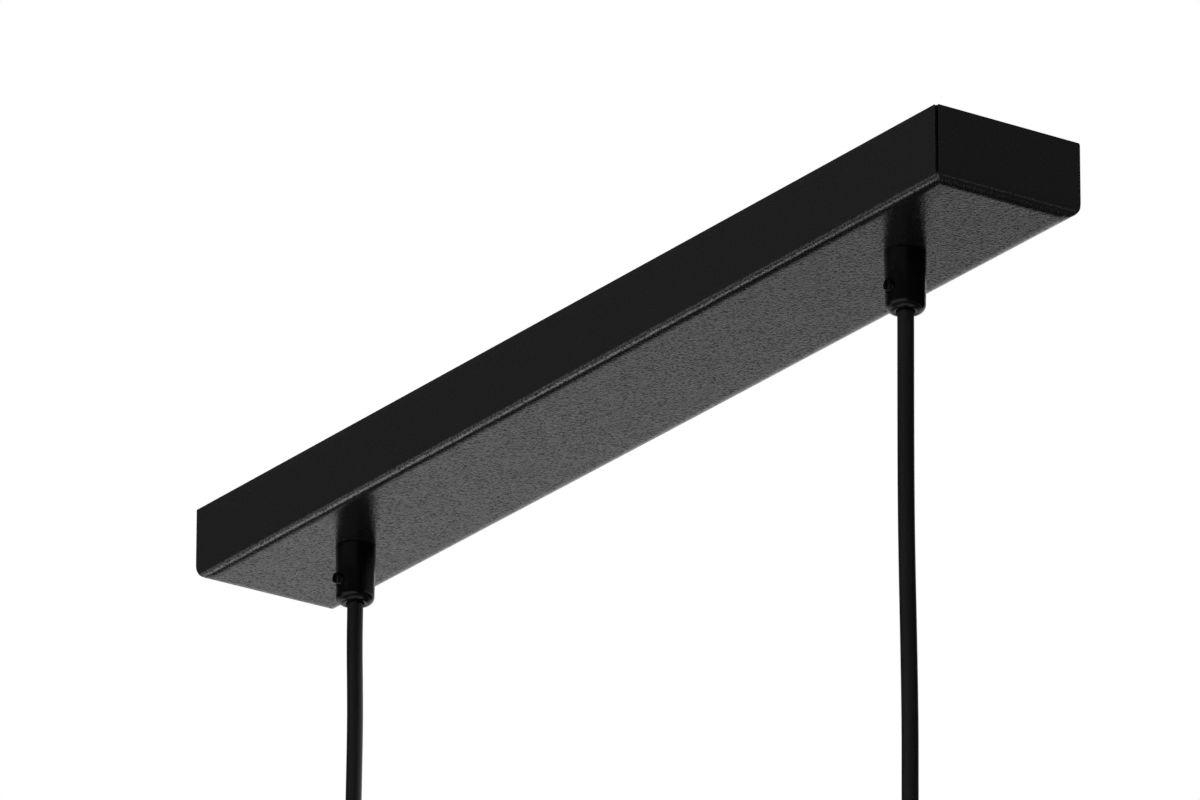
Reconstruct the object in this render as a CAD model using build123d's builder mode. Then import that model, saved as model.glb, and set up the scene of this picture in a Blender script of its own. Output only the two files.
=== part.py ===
"""Two-outlet bar pendant light: a folded steel ceiling canopy on its bracket, two cord grips,
two plumb cords and two screw-base lampholders.

Millimetres. X runs along the bar, +Y is its back, Z is up, and the origin is on the ceiling
at the middle of the bar.
"""

import math
import os

from build123d import *

# Canopy: one sheet folded up on four sides, open towards the ceiling
canopy_length = 450.0
canopy_width = 60.0
canopy_height = 26.5
sheet = 1.2
fold_radius = 2.8
seam_notch = 0.8
seam_foot = 2.8
outlet_inset = 59.0

# Ceiling bracket: a flat strap with a folded cross piece at each end
strap_thickness = 1.5
strap_width = 22.0
strap_corner_radius = 5.0
cross_inset = 35.0
cross_width = 26.0
lug_depth = 15.0
lug_fold_radius = 2.5
lug_clearance = 0.3
ceiling_slot_spacing = 240.0
ceiling_slot_width = 5.0
ceiling_slot_length = 14.0

# Screws and nuts that hold the canopy to the bracket
fixing_diameter = 4.0
fixing_drop = 9.0
fixing_tail = 2.5
fixing_head_diameter = 7.6
fixing_head_height = 2.4
fixing_head_round = 0.9
fixing_recess_length = 4.6
fixing_recess_width = 0.9
fixing_recess_depth = 1.2
fixing_nut_flats = 7.0
fixing_nut_height = 3.2
fixing_nut_gap = 0.1
screw_clearance = 0.2

# Cord and the moulded grip that it hangs from
cord_diameter = 5.7
cord_drop = 200.0
cord_neck = 24.0
cord_tail = 3.0
cord_into_cap = 1.0
flex_gap = 0.3
grip_length = 21.5
grip_base_diameter = 14.4
grip_nose_diameter = 13.6
grip_shoulder = 2.7
grip_lip = 0.8
grip_bore_clearance = 0.3
grip_stem_diameter = 9.8
grip_stem_proud = 2.5
thread_clearance = 0.05

# Slotted clamp screw in the side of each grip
clamp_diameter = 4.0
clamp_inset = 8.3
clamp_tip_gap = 0.15
clamp_mouth_diameter = 5.6
clamp_mouth_depth = 0.9
clamp_chamfer = 0.3
clamp_slot_width = 0.9
clamp_slot_depth = 1.1
clamp_proud_left = 1.5
clamp_proud_right = 0.8
clamp_proud_holder = 0.4

# Lock washer and nut on each grip's stem, inside the canopy
washer_diameter = 18.0
washer_thickness = 0.8
washer_teeth = 12
washer_tooth_depth = 1.4
washer_tooth_gap = 1.8
grip_nut_flats = 14.0
grip_nut_height = 3.0

# Terminal block on the canopy floor
pole_count = 3
pole_pitch = 11.0
pole_axis_height = 6.0
barrel_diameter = 8.6
block_depth = 15.0
block_web_thickness = 5.0
block_ear_length = 8.0
turret_diameter = 5.6
turret_height = 12.0
turret_spacing = 7.6
insert_diameter = 6.0
insert_bore = 4.2
insert_length = 13.0
terminal_screw_diameter = 2.8
terminal_screw_recess = 1.0
terminal_slot_width = 0.7
block_stud_diameter = 3.0
block_stud_proud = 1.2
block_nut_flats = 5.5
block_nut_height = 2.4

# Earth stud, washer, lug and nut on the canopy floor
earth_gap = 38.0
earth_y = 2.0
earth_stud_diameter = 4.0
earth_stud_proud = 2.0
earth_washer_diameter = 8.0
earth_washer_thickness = 0.8
earth_lug_diameter = 8.6
earth_lug_thickness = 0.8
earth_barrel_diameter = 3.6
earth_barrel_length = 7.0
earth_barrel_start = 7.0
earth_wire_depth = 4.0
earth_nut_flats = 7.0
earth_nut_height = 3.2

# Single wires inside the canopy
wire_diameter = 2.2
wire_core_diameter = 1.0
wire_pair_spacing = 2.6
wire_tip_length = 4.0
wire_floor_gap = 0.2
wire_entry_gap = 0.3
wire_entry_drop = 0.7
wire_entry_run = 3.0
lane_inset = 6.3
lane_pitch = 4.5

# Each cord wire's way: up under the strap, down to its lane on the floor, along to its pole
wire_strap_gap = 0.9
arch_start = 6.0
arch_start_sway = 0.8
arch_end = 16.0
arch_end_sway = 3.0
arch_sag = 1.0
fall_reach = 36.0
fall_height = 7.5
landing_reach = 60.0
landing_sway = 2.5
landing_height = 1.0
lane_reach = 94.0
lane_sway = 0.3
pole_approach = 22.0
pole_sway = 0.6
front_turn_drop = 0.4

# The earth wire's way: straight out of its lug, across to the third lane, along to the middle pole
earth_lead = 8.0
earth_dip_reach = 19.0
earth_dip_sway = 8.5
earth_dip_height = 0.4
earth_lane_reach = 32.0
earth_lane_sway = 0.5
earth_turn_reach = 6.0
earth_turn_sway = 0.8

# Screw-base lampholder at the end of each cord, from the lamp's sleeve outwards
sleeve_bore = 26.6
sleeve_wall = 0.6
sleeve_length = 22.0
holder_clearance = 0.2
ledge_width = 1.2
ledge_thickness = 1.2
neck_wall = 2.0
neck_length = 8.0
cap_wall = 2.0
cap_height = 26.0
cap_top_thickness = 5.0
cap_shoulder = 9.5
flange_overhang = 2.5
flange_height = 3.0
rim_chamfer = 0.6
skirt_step = 0.5
skirt_wall = 2.2
skirt_length = 24.0
finger_lip_width = 2.2
finger_lip_height = 2.0
carrier_height = 12.0
pocket_rim = 1.3
pocket_depth = 5.0
contact_width = 6.0
contact_thickness = 0.5
contact_foot = 5.0
contact_fall = 3.4
contact_tip_rise = 1.2
contact_edge_gap = 1.5
contact_bend_radius = 1.5
contact_screw_diameter = 3.2
contact_screw_spacing = 18.0
contact_screw_depth = 6.0
contact_screw_slot = 0.8
ring_collar_wall = 3.6
ring_height = 8.0
ring_rim_width = 4.2
ring_rim_height = 3.0
ring_clearance = 0.25
ring_seat_gap = 1.0
ring_flutes = 24
ring_flute_radius = 1.6
ring_flute_depth = 0.9

# How near an edge or corner lies to a size that picks it out
pick_gap = 0.01

# Derived sizes and places
floor_bottom = -canopy_height
floor_top = floor_bottom + sheet
inner_y = canopy_width / 2 - sheet
cross_spacing = canopy_length - 2 * cross_inset
lug_face_y = inner_y - lug_clearance
lug_inner_y = lug_face_y - strap_thickness
outlet_spacing = canopy_length - 2 * outlet_inset
outlet_x = {"left": -outlet_spacing / 2, "right": outlet_spacing / 2}
clamp_proud = {"left": clamp_proud_left, "right": clamp_proud_right}

cord_radius = cord_diameter / 2
grip_bore_radius = cord_radius + grip_bore_clearance
grip_stem_length = sheet + washer_thickness + grip_nut_height + grip_stem_proud
clamp_height = grip_length - clamp_inset
mouth_z = floor_bottom - grip_length
neck_end_z = mouth_z - cord_neck
nut_z = floor_top + washer_thickness
held_bottom_z = mouth_z + cord_radius + flex_gap
held_top_z = floor_bottom + grip_stem_length + cord_tail

pole_z = floor_top + pole_axis_height
pole_x = [(i - (pole_count - 1) / 2) * pole_pitch for i in range(pole_count)]
poles_length = (pole_count - 1) * pole_pitch + barrel_diameter
block_length = poles_length + 2 * block_ear_length
stud_spacing = poles_length + block_ear_length
block_stud_height = block_web_thickness + block_nut_height + block_stud_proud
earth_x = -block_length / 2 - earth_gap
earth_stack = earth_washer_thickness + earth_lug_thickness + earth_nut_height
earth_stud_height = earth_stack + earth_stud_proud

wire_radius = wire_diameter / 2
wire_floor_z = floor_top + wire_radius + wire_floor_gap
arch_z = -strap_thickness - wire_strap_gap - wire_radius
wire_entry_z = pole_z - wire_entry_drop
wire_entry_y = -block_depth / 2 - wire_entry_gap

holder_mouth_z = mouth_z - cord_drop
cap_top_z = holder_mouth_z - grip_length
cap_bottom_z = cap_top_z - cap_height
flange_bottom_z = cap_bottom_z - flange_height
ledge_z = flange_bottom_z + ledge_thickness
skirt_bottom_z = flange_bottom_z - skirt_length
ring_top_z = flange_bottom_z - ring_seat_gap
sleeve_outer = sleeve_bore / 2 + sleeve_wall
ledge_radius = sleeve_outer + holder_clearance
neck_inner = ledge_radius + ledge_width
neck_outer = neck_inner + neck_wall
cap_radius = neck_outer + holder_clearance + cap_wall
flange_radius = cap_radius + flange_overhang
skirt_radius = cap_radius + skirt_step
skirt_inner = skirt_radius - skirt_wall
pocket_radius = sleeve_bore / 2 - pocket_rim

os.makedirs("parts", exist_ok=True)


def save(part, name):
    """Labels a finished piece and writes its STEP file."""
    part.label = name
    export_step(part, f"parts/{name}.step")


def profile_plane(x, z, down=False):
    """The upright plane through an outlet's axis: across is radius, up (or down) is height."""
    return Plane(origin=(x, 0, z), x_dir=(1, 0, 0), z_dir=(0, 1 if down else -1, 0))


def outlet_axis(x):
    """The upright axis that an outlet's round pieces turn about."""
    return Axis((x, 0, 0), (0, 0, 1))


def back_plane(y, z):
    """A plane facing +Y, for what goes through the canopy's back flap."""
    return Plane(origin=(0, y, z), x_dir=(-1, 0, 0), z_dir=(0, 1, 0))


def front_plane(x, y, z):
    """A plane facing -Y, for what is put in from the front."""
    return Plane(origin=(x, y, z), x_dir=(1, 0, 0), z_dir=(0, -1, 0))


def canopy():
    """The folded box, with its corner seams, outlet and screw holes and weld studs."""
    with BuildPart() as box:
        with BuildSketch(Plane.XY.offset(floor_bottom)):
            Rectangle(canopy_length, canopy_width)
        extrude(amount=canopy_height)
        fillet(box.faces().sort_by(Axis.Z)[0].edges(), fold_radius)
        with BuildSketch(Plane.XY.offset(floor_top)):
            Rectangle(canopy_length - 2 * sheet, canopy_width - 2 * sheet)
        extrude(amount=canopy_height, mode=Mode.SUBTRACT)
        inner_floor = box.faces().filter_by(Plane.XY).sort_by(Axis.Z)[1]
        fillet(inner_floor.edges(), fold_radius - sheet)
        with BuildSketch(Plane.XY.offset(floor_bottom + seam_foot)):
            with GridLocations(canopy_length, canopy_width, 2, 2):
                Rectangle(2 * seam_notch, 2 * seam_notch)
        extrude(amount=canopy_height, mode=Mode.SUBTRACT)
        with BuildSketch(Plane.XY.offset(floor_bottom)):
            with GridLocations(outlet_spacing, 1, 2, 1):
                Circle(grip_stem_diameter / 2 + screw_clearance)
        extrude(amount=sheet, mode=Mode.SUBTRACT)
        with BuildSketch(back_plane(canopy_width / 2, -fixing_drop)):
            with GridLocations(cross_spacing, 1, 2, 1):
                Circle(fixing_diameter / 2 + screw_clearance)
        extrude(amount=-sheet, mode=Mode.SUBTRACT)
        with BuildSketch(Plane.XY.offset(floor_top)):
            with GridLocations(stud_spacing, 1, 2, 1):
                Circle(block_stud_diameter / 2)
        extrude(amount=block_stud_height)
        with BuildSketch(Plane((earth_x, earth_y, floor_top))):
            Circle(earth_stud_diameter / 2)
        extrude(amount=earth_stud_height)
    return box.part


def mounting_bracket():
    """The strap, its ceiling slots and the four lugs folded down inside the canopy."""
    with BuildPart() as bracket:
        with BuildSketch() as blank:
            Rectangle(cross_spacing, strap_width)
            with GridLocations(cross_spacing, 1, 2, 1):
                Rectangle(cross_width, 2 * lug_face_y)
            corners = blank.vertices().filter_by(lambda v: abs(v.Y) < lug_inner_y)
            fillet(corners, strap_corner_radius)
            with GridLocations(ceiling_slot_spacing, 1, 2, 1):
                SlotOverall(ceiling_slot_length, ceiling_slot_width, mode=Mode.SUBTRACT)
        extrude(amount=-strap_thickness)
        with BuildSketch():
            with GridLocations(cross_spacing, lug_face_y + lug_inner_y, 2, 2):
                Rectangle(cross_width, strap_thickness)
        extrude(amount=-lug_depth)
        along = bracket.edges().filter_by(Axis.X)
        outside = along.filter_by(lambda e: abs(e.center().Y) > lug_face_y - pick_gap)
        fillet(outside.group_by(Axis.Z)[-1], lug_fold_radius)
        along = bracket.edges().filter_by(Axis.X)
        inside = along.filter_by(lambda e: abs(abs(e.center().Y) - lug_inner_y) < pick_gap)
        fillet(inside.group_by(Axis.Z)[-1], lug_fold_radius - strap_thickness)
        slot_width = fixing_diameter + 2 * screw_clearance
        with BuildSketch(back_plane(lug_face_y, -fixing_drop)):
            with GridLocations(cross_spacing, 1, 2, 1):
                Circle(slot_width / 2)
                Rectangle(slot_width, lug_depth, align=(Align.CENTER, Align.MAX))
        extrude(amount=-strap_thickness, mode=Mode.SUBTRACT)
    return bracket.part


def canopy_screws():
    """Two pan-head screws through the back flap into the lugs' open slots."""
    back = back_plane(canopy_width / 2, -fixing_drop)
    length = canopy_width / 2 - lug_inner_y + fixing_nut_height + fixing_tail
    with BuildPart() as screws:
        with BuildSketch(back):
            with GridLocations(cross_spacing, 1, 2, 1):
                Circle(fixing_head_diameter / 2)
        extrude(amount=fixing_head_height)
        tops = screws.faces().filter_by(Axis.Y).group_by(Axis.Y)[-1]
        fillet(tops.edges(), fixing_head_round)
        with BuildSketch(back):
            with GridLocations(cross_spacing, 1, 2, 1):
                Circle(fixing_diameter / 2)
        extrude(amount=-length)
        with BuildSketch(back.offset(fixing_head_height)):
            with GridLocations(cross_spacing, 1, 2, 1):
                Rectangle(fixing_recess_length, fixing_recess_width)
                Rectangle(fixing_recess_width, fixing_recess_length)
        extrude(amount=-fixing_recess_depth, mode=Mode.SUBTRACT)
    return screws.part


def canopy_nuts():
    """Two nuts that draw the lugs against the back flap."""
    with BuildPart() as nuts:
        with BuildSketch(back_plane(lug_inner_y - fixing_nut_gap, -fixing_drop)):
            with GridLocations(cross_spacing, 1, 2, 1):
                RegularPolygon(fixing_nut_flats / 2, 6, major_radius=False)
                Circle(fixing_diameter / 2 + thread_clearance, mode=Mode.SUBTRACT)
        extrude(amount=-fixing_nut_height)
    return nuts.part


def cord_grip(x, base_z, nose_down):
    """The moulded grip: tapered barrel, rounded nose, bell mouth, threaded stem, screw hole."""
    base = grip_base_diameter / 2
    nose = grip_nose_diameter / 2
    stem = grip_stem_diameter / 2
    bore = grip_bore_radius
    with BuildPart() as grip:
        with BuildSketch(profile_plane(x, base_z, nose_down)) as profile:
            with BuildLine():
                Polyline(
                    (bore, -grip_stem_length),
                    (stem, -grip_stem_length),
                    (stem, 0),
                    (base, 0),
                    (nose, grip_length),
                    (bore, grip_length),
                    close=True,
                )
            make_face()
            rim = profile.vertices().group_by(Axis.Y)[-1].sort_by(Axis.X)
            fillet(rim[-1], min(grip_shoulder, 0.75 * (nose - bore)))
            rim = profile.vertices().group_by(Axis.Y)[-1].sort_by(Axis.X)
            fillet(rim[0], min(grip_lip, 0.22 * (nose - bore)))
        revolve(axis=outlet_axis(x))
        side = front_plane(x, -base, base_z + (-clamp_height if nose_down else clamp_height))
        with BuildSketch(side):
            Circle(clamp_diameter / 2 + thread_clearance)
        extrude(amount=-base, mode=Mode.SUBTRACT)
        with BuildSketch(side):
            Circle(clamp_mouth_diameter / 2)
        extrude(amount=-clamp_mouth_depth, mode=Mode.SUBTRACT)
    return grip.part


def clamp_screw(x, z, proud):
    """The slotted screw that bites on the cord through the side of a grip."""
    end_y = -grip_base_diameter / 2 - proud
    tip_y = -cord_radius - clamp_tip_gap
    with BuildPart() as screw:
        with BuildSketch(front_plane(x, tip_y, z)):
            Circle(clamp_diameter / 2)
        extrude(amount=tip_y - end_y)
        chamfer(screw.faces().filter_by(Axis.Y).edges(), clamp_chamfer)
        with BuildSketch(front_plane(x, end_y, z)):
            Rectangle(clamp_slot_width, clamp_diameter)
        extrude(amount=-clamp_slot_depth, mode=Mode.SUBTRACT)
    return screw.part


def lock_washer(x):
    """The toothed washer under a grip's nut."""
    with BuildPart() as washer:
        with BuildSketch(Plane((x, 0, floor_top))):
            Circle(washer_diameter / 2)
            Circle(grip_stem_diameter / 2 + screw_clearance, mode=Mode.SUBTRACT)
            with PolarLocations(washer_diameter / 2, washer_teeth):
                Rectangle(2 * washer_tooth_depth, washer_tooth_gap, mode=Mode.SUBTRACT)
        extrude(amount=washer_thickness)
    return washer.part


def grip_nut(x):
    """The thin hexagon nut on a grip's stem."""
    with BuildPart() as nut:
        with BuildSketch(Plane((x, 0, nut_z))):
            RegularPolygon(grip_nut_flats / 2, 6, major_radius=False)
            Circle(grip_stem_diameter / 2 + thread_clearance, mode=Mode.SUBTRACT)
        extrude(amount=grip_nut_height)
    return nut.part


def held_cord(x):
    """The end of a cord that its grip holds, cut square where the free cord flexes."""
    with BuildPart() as cord:
        with BuildSketch(Plane((x, 0, held_bottom_z))):
            Circle(cord_radius)
        extrude(amount=held_top_z - held_bottom_z)
    return cord.part


def free_cord(x, top_z, bottom_z):
    """A straight length of cord whose round top flexes about its centre."""
    with BuildPart() as cord:
        with BuildSketch(profile_plane(x, 0)):
            with BuildLine():
                Polyline((0, top_z + cord_radius), (0, bottom_z), (cord_radius, bottom_z))
                Line((cord_radius, bottom_z), (cord_radius, top_z))
                CenterArc((0, top_z), cord_radius, 0, 90)
            make_face()
        revolve(axis=outlet_axis(x))
    return cord.part


def route_radii(points):
    """Arc radii as large as the runs on both sides of each corner allow."""
    corners = [Vector(*point) for point in points]
    radii = []
    for before, corner, after in zip(corners, corners[1:], corners[2:]):
        turn = math.radians((corner - before).get_angle(after - corner))
        shorter = min((corner - before).length, (after - corner).length)
        radii.append(0.45 * shorter / math.tan(turn / 2))
    return radii


def wire(points, name):
    """An insulated wire along a route, with a bare tip at its far end."""
    radii = route_radii(points)
    print(f"{name}: tightest bend {min(radii):.1f} mm")
    with BuildPart() as piece:
        with BuildLine() as path:
            FilletPolyline(*points, radius=radii)
        with BuildSketch(Plane(path.line @ 0, z_dir=path.line % 0)):
            Circle(wire_radius)
        sweep()
        with BuildSketch(Plane(path.line @ 1, z_dir=path.line % 1)):
            Circle(wire_core_diameter / 2)
        extrude(amount=wire_tip_length)
    return piece.part


def cord_wire_route(side, front_lane):
    """One wire's way from a cord's end over to its lane on the canopy floor and into its pole."""
    inward = -1 if side == "right" else 1
    x = outlet_x[side]
    start_y = (-0.5 if front_lane else 0.5) * wire_pair_spacing
    lane_y = -inner_y + lane_inset + (0 if front_lane else lane_pitch)
    pole = pole_x[0] if front_lane else pole_x[-1]
    end_x = pole - inward * wire_pair_spacing / 2
    turn_z = wire_entry_z - front_turn_drop if front_lane else wire_floor_z
    return [
        (x, start_y, held_top_z),
        (x, start_y, (held_top_z + arch_z) / 2),
        (x + inward * arch_start, start_y - arch_start_sway, arch_z),
        (x + inward * arch_end, start_y - arch_end_sway, arch_z - arch_sag),
        (x + inward * fall_reach, lane_y / 2, wire_floor_z + fall_height),
        (x + inward * landing_reach, lane_y + landing_sway, wire_floor_z + landing_height),
        (x + inward * lane_reach, lane_y + lane_sway, wire_floor_z),
        (end_x - inward * pole_approach, lane_y - lane_sway, wire_floor_z),
        (end_x, lane_y + pole_sway, turn_z),
        (end_x, wire_entry_y - wire_entry_run, wire_entry_z),
        (end_x, wire_entry_y, wire_entry_z),
    ]


def earth_wire_route():
    """The earth wire's way from its lug, under the other wires, to the middle pole."""
    barrel_z = floor_top + earth_washer_thickness + earth_barrel_diameter / 2
    start = earth_x + earth_barrel_start + earth_barrel_length - earth_wire_depth
    lane_y = -inner_y + lane_inset + 2 * lane_pitch
    return [
        (start, earth_y, barrel_z),
        (start + earth_lead, earth_y, barrel_z),
        (start + earth_dip_reach, earth_y - earth_dip_sway, wire_floor_z + earth_dip_height),
        (start + earth_lane_reach, lane_y + earth_lane_sway, wire_floor_z),
        (-earth_turn_reach, lane_y, wire_floor_z),
        (0, lane_y + earth_turn_sway, wire_floor_z + earth_turn_sway),
        (0, wire_entry_y - wire_entry_run, wire_entry_z),
        (0, wire_entry_y, wire_entry_z),
    ]


def terminal_block():
    """The moulded strip: an eared web, a barrel for each pole and two screw turrets on each."""
    with BuildPart() as block:
        with BuildSketch(Plane.XY.offset(floor_top)):
            Rectangle(block_length, block_depth)
            with GridLocations(stud_spacing, 1, 2, 1):
                Circle(block_stud_diameter / 2 + screw_clearance, mode=Mode.SUBTRACT)
        extrude(amount=block_web_thickness)
        across = front_plane(0, -block_depth / 2, pole_z)
        with BuildSketch(across):
            with GridLocations(pole_pitch, 1, pole_count, 1):
                Circle(barrel_diameter / 2)
        extrude(amount=-block_depth)
        with BuildSketch(Plane.XY.offset(pole_z)):
            with GridLocations(pole_pitch, turret_spacing, pole_count, 2):
                Circle(turret_diameter / 2)
        extrude(amount=turret_height - pole_axis_height)
        with BuildSketch(across):
            with GridLocations(pole_pitch, 1, pole_count, 1):
                Circle(insert_diameter / 2 + thread_clearance)
        extrude(amount=-block_depth, mode=Mode.SUBTRACT)
        with BuildSketch(Plane.XY.offset(pole_z)):
            with GridLocations(pole_pitch, turret_spacing, pole_count, 2):
                Circle(terminal_screw_diameter / 2 + thread_clearance)
        extrude(amount=turret_height, mode=Mode.SUBTRACT)
    return block.part


def terminal_inserts():
    """The brass tubes that join the wires, one in each pole."""
    with BuildPart() as inserts:
        with BuildSketch(front_plane(0, -insert_length / 2, pole_z)):
            with GridLocations(pole_pitch, 1, pole_count, 1):
                Circle(insert_diameter / 2)
                Circle(insert_bore / 2, mode=Mode.SUBTRACT)
        extrude(amount=-insert_length)
        with BuildSketch(Plane.XY.offset(pole_z)):
            with GridLocations(pole_pitch, turret_spacing, pole_count, 2):
                Circle(terminal_screw_diameter / 2 + thread_clearance)
        extrude(amount=insert_diameter, mode=Mode.SUBTRACT)
    return inserts.part


def terminal_screws():
    """The slotted screws down the turrets, with their feet on the wires."""
    top_z = floor_top + turret_height - terminal_screw_recess
    foot_z = wire_entry_z + wire_core_diameter / 2 + wire_floor_gap
    with BuildPart() as screws:
        with BuildSketch(Plane.XY.offset(foot_z)):
            with GridLocations(pole_pitch, turret_spacing, pole_count, 2):
                Circle(terminal_screw_diameter / 2)
        extrude(amount=top_z - foot_z)
        with BuildSketch(Plane.XY.offset(top_z)):
            with GridLocations(pole_pitch, turret_spacing, pole_count, 2):
                Rectangle(terminal_screw_diameter, terminal_slot_width)
        extrude(amount=-terminal_slot_width, mode=Mode.SUBTRACT)
    return screws.part


def block_nuts():
    """The two nuts that hold the terminal block on its weld studs."""
    with BuildPart() as nuts:
        with BuildSketch(Plane.XY.offset(floor_top + block_web_thickness)):
            with GridLocations(stud_spacing, 1, 2, 1):
                RegularPolygon(block_nut_flats / 2, 6, major_radius=False)
                Circle(block_stud_diameter / 2 + thread_clearance, mode=Mode.SUBTRACT)
        extrude(amount=block_nut_height)
    return nuts.part


def earth_washer():
    """The washer under the earth lug."""
    with BuildPart() as washer:
        with BuildSketch(Plane((earth_x, earth_y, floor_top))):
            Circle(earth_washer_diameter / 2)
            Circle(earth_stud_diameter / 2 + screw_clearance, mode=Mode.SUBTRACT)
        extrude(amount=earth_washer_thickness)
    return washer.part


def earth_lug():
    """The ring lug and its crimped barrel, which holds the earth wire."""
    z = floor_top + earth_washer_thickness
    barrel_x = earth_x + earth_barrel_start
    barrel = Plane((barrel_x, earth_y, z + earth_barrel_diameter / 2), z_dir=(1, 0, 0))
    with BuildPart() as lug:
        with BuildSketch(Plane((earth_x, earth_y, z))):
            Circle(earth_lug_diameter / 2)
            Rectangle(
                earth_barrel_start + earth_lug_thickness,
                earth_barrel_diameter,
                align=(Align.MIN, Align.CENTER),
            )
            Circle(earth_stud_diameter / 2 + screw_clearance, mode=Mode.SUBTRACT)
        extrude(amount=earth_lug_thickness)
        with BuildSketch(barrel):
            Circle(earth_barrel_diameter / 2)
        extrude(amount=earth_barrel_length)
        with BuildSketch(barrel.offset(earth_barrel_length)):
            Circle(wire_radius + thread_clearance)
        extrude(amount=-earth_wire_depth, mode=Mode.SUBTRACT)
    return lug.part


def earth_nut():
    """The nut that clamps the earth lug."""
    z = floor_top + earth_washer_thickness + earth_lug_thickness
    with BuildPart() as nut:
        with BuildSketch(Plane((earth_x, earth_y, z))):
            RegularPolygon(earth_nut_flats / 2, 6, major_radius=False)
            Circle(earth_stud_diameter / 2 + thread_clearance, mode=Mode.SUBTRACT)
        extrude(amount=earth_nut_height)
    return nut.part


def holder_cap(x):
    """The domed cap, bored for the grip's stem and open below."""
    bore = grip_stem_diameter / 2 + thread_clearance
    cap_inner = cap_radius - cap_wall
    with BuildPart() as cap:
        with BuildSketch(profile_plane(x, cap_top_z, down=True)) as profile:
            with BuildLine():
                Polyline(
                    (bore, 0),
                    (cap_radius, 0),
                    (cap_radius, cap_height),
                    (cap_inner, cap_height),
                    (cap_inner, cap_top_thickness),
                    (bore, cap_top_thickness),
                    close=True,
                )
            make_face()
            top_corner = profile.vertices().group_by(Axis.Y)[0].sort_by(Axis.X)[-1]
            fillet(top_corner, cap_shoulder)
            inner_corner = profile.vertices().filter_by(
                lambda v: abs(v.X - cap_inner) < pick_gap and v.Y < cap_height - pick_gap
            )
            fillet(inner_corner, cap_shoulder - cap_wall)
        revolve(axis=outlet_axis(x))
    return cap.part


def holder_shell(x):
    """The lower shell: neck in the cap, flange that seats a shade, threaded skirt, finger lip."""
    lip_inner = skirt_inner - finger_lip_width
    lip_z = skirt_bottom_z + finger_lip_height
    with BuildPart() as shell:
        with BuildSketch(profile_plane(x, 0)) as profile:
            with BuildLine():
                Polyline(
                    (neck_inner, cap_bottom_z + neck_length),
                    (neck_outer, cap_bottom_z + neck_length),
                    (neck_outer, cap_bottom_z),
                    (flange_radius, cap_bottom_z),
                    (flange_radius, flange_bottom_z),
                    (skirt_radius, flange_bottom_z),
                    (skirt_radius, skirt_bottom_z),
                    (lip_inner, skirt_bottom_z),
                    (lip_inner, lip_z),
                    (skirt_inner, lip_z),
                    (skirt_inner, flange_bottom_z),
                    (ledge_radius, flange_bottom_z),
                    (ledge_radius, ledge_z),
                    (neck_inner, ledge_z),
                    close=True,
                )
            make_face()
            chamfer(profile.vertices().group_by(Axis.X)[-1], rim_chamfer)
            chamfer(profile.vertices().group_by(Axis.Y)[0].sort_by(Axis.X)[-1], rim_chamfer)
        revolve(axis=outlet_axis(x))
    return shell.part


def contact_carrier(x):
    """The insulating block that holds the sleeve, the centre contact and the wire screws."""
    with BuildPart() as carrier:
        with BuildSketch(Plane((x, 0, ledge_z))):
            Circle(neck_inner - holder_clearance)
        extrude(amount=carrier_height)
        with BuildSketch(Plane((x, 0, ledge_z))):
            Circle(pocket_radius)
        extrude(amount=pocket_depth, mode=Mode.SUBTRACT)
        with BuildSketch(Plane((x, 0, ledge_z + carrier_height))):
            with GridLocations(contact_screw_spacing, 1, 2, 1):
                Circle(contact_screw_diameter / 2 + thread_clearance)
        extrude(amount=-contact_screw_depth, mode=Mode.SUBTRACT)
    return carrier.part


def screw_sleeve(x):
    """The plated sleeve that takes the lamp's screw base."""
    with BuildPart() as sleeve:
        with BuildSketch(Plane((x, 0, ledge_z - sleeve_length))):
            Circle(sleeve_outer)
            Circle(sleeve_bore / 2, mode=Mode.SUBTRACT)
        extrude(amount=sleeve_length)
    return sleeve.part


def centre_contact(x):
    """The sprung tongue that meets the lamp's centre contact."""
    roof_z = ledge_z + pocket_depth - contact_thickness / 2
    foot_x = pocket_radius - contact_edge_gap
    with BuildPart() as contact:
        with BuildSketch(front_plane(x, 0, roof_z)):
            with BuildLine():
                FilletPolyline(
                    (foot_x, 0),
                    (foot_x - contact_foot, 0),
                    (0, -contact_fall),
                    (-contact_foot, -contact_fall + contact_tip_rise),
                    radius=contact_bend_radius,
                )
            trace(line_width=contact_thickness)
        extrude(amount=contact_width / 2, both=True)
    return contact.part


def contact_screws(x):
    """The two slotted screws that clamp the cord's wires on the carrier."""
    top_z = ledge_z + carrier_height
    with BuildPart() as screws:
        with BuildSketch(Plane((x, 0, top_z))):
            with GridLocations(contact_screw_spacing, 1, 2, 1):
                Circle(contact_screw_diameter / 2)
        extrude(amount=-contact_screw_depth)
        with BuildSketch(Plane((x, 0, top_z))):
            with GridLocations(contact_screw_spacing, 1, 2, 1):
                Rectangle(contact_screw_diameter, contact_screw_slot)
        extrude(amount=-contact_screw_slot, mode=Mode.SUBTRACT)
    return screws.part


def shade_ring(x):
    """The fluted ring on the skirt that would clamp a shade under the flange."""
    inner = skirt_radius + ring_clearance
    collar = inner + ring_collar_wall
    rim = collar + ring_rim_width
    with BuildPart() as ring:
        with BuildSketch(profile_plane(x, ring_top_z, down=True)):
            with BuildLine():
                Polyline(
                    (inner, 0),
                    (rim, 0),
                    (rim, ring_rim_height),
                    (collar, ring_rim_height),
                    (collar, ring_height),
                    (inner, ring_height),
                    close=True,
                )
            make_face()
        revolve(axis=outlet_axis(x))
        with BuildSketch(Plane((x, 0, ring_top_z))):
            with PolarLocations(rim + ring_flute_radius - ring_flute_depth, ring_flutes):
                Circle(ring_flute_radius)
        extrude(amount=-ring_rim_height, mode=Mode.SUBTRACT)
    return ring.part


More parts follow.
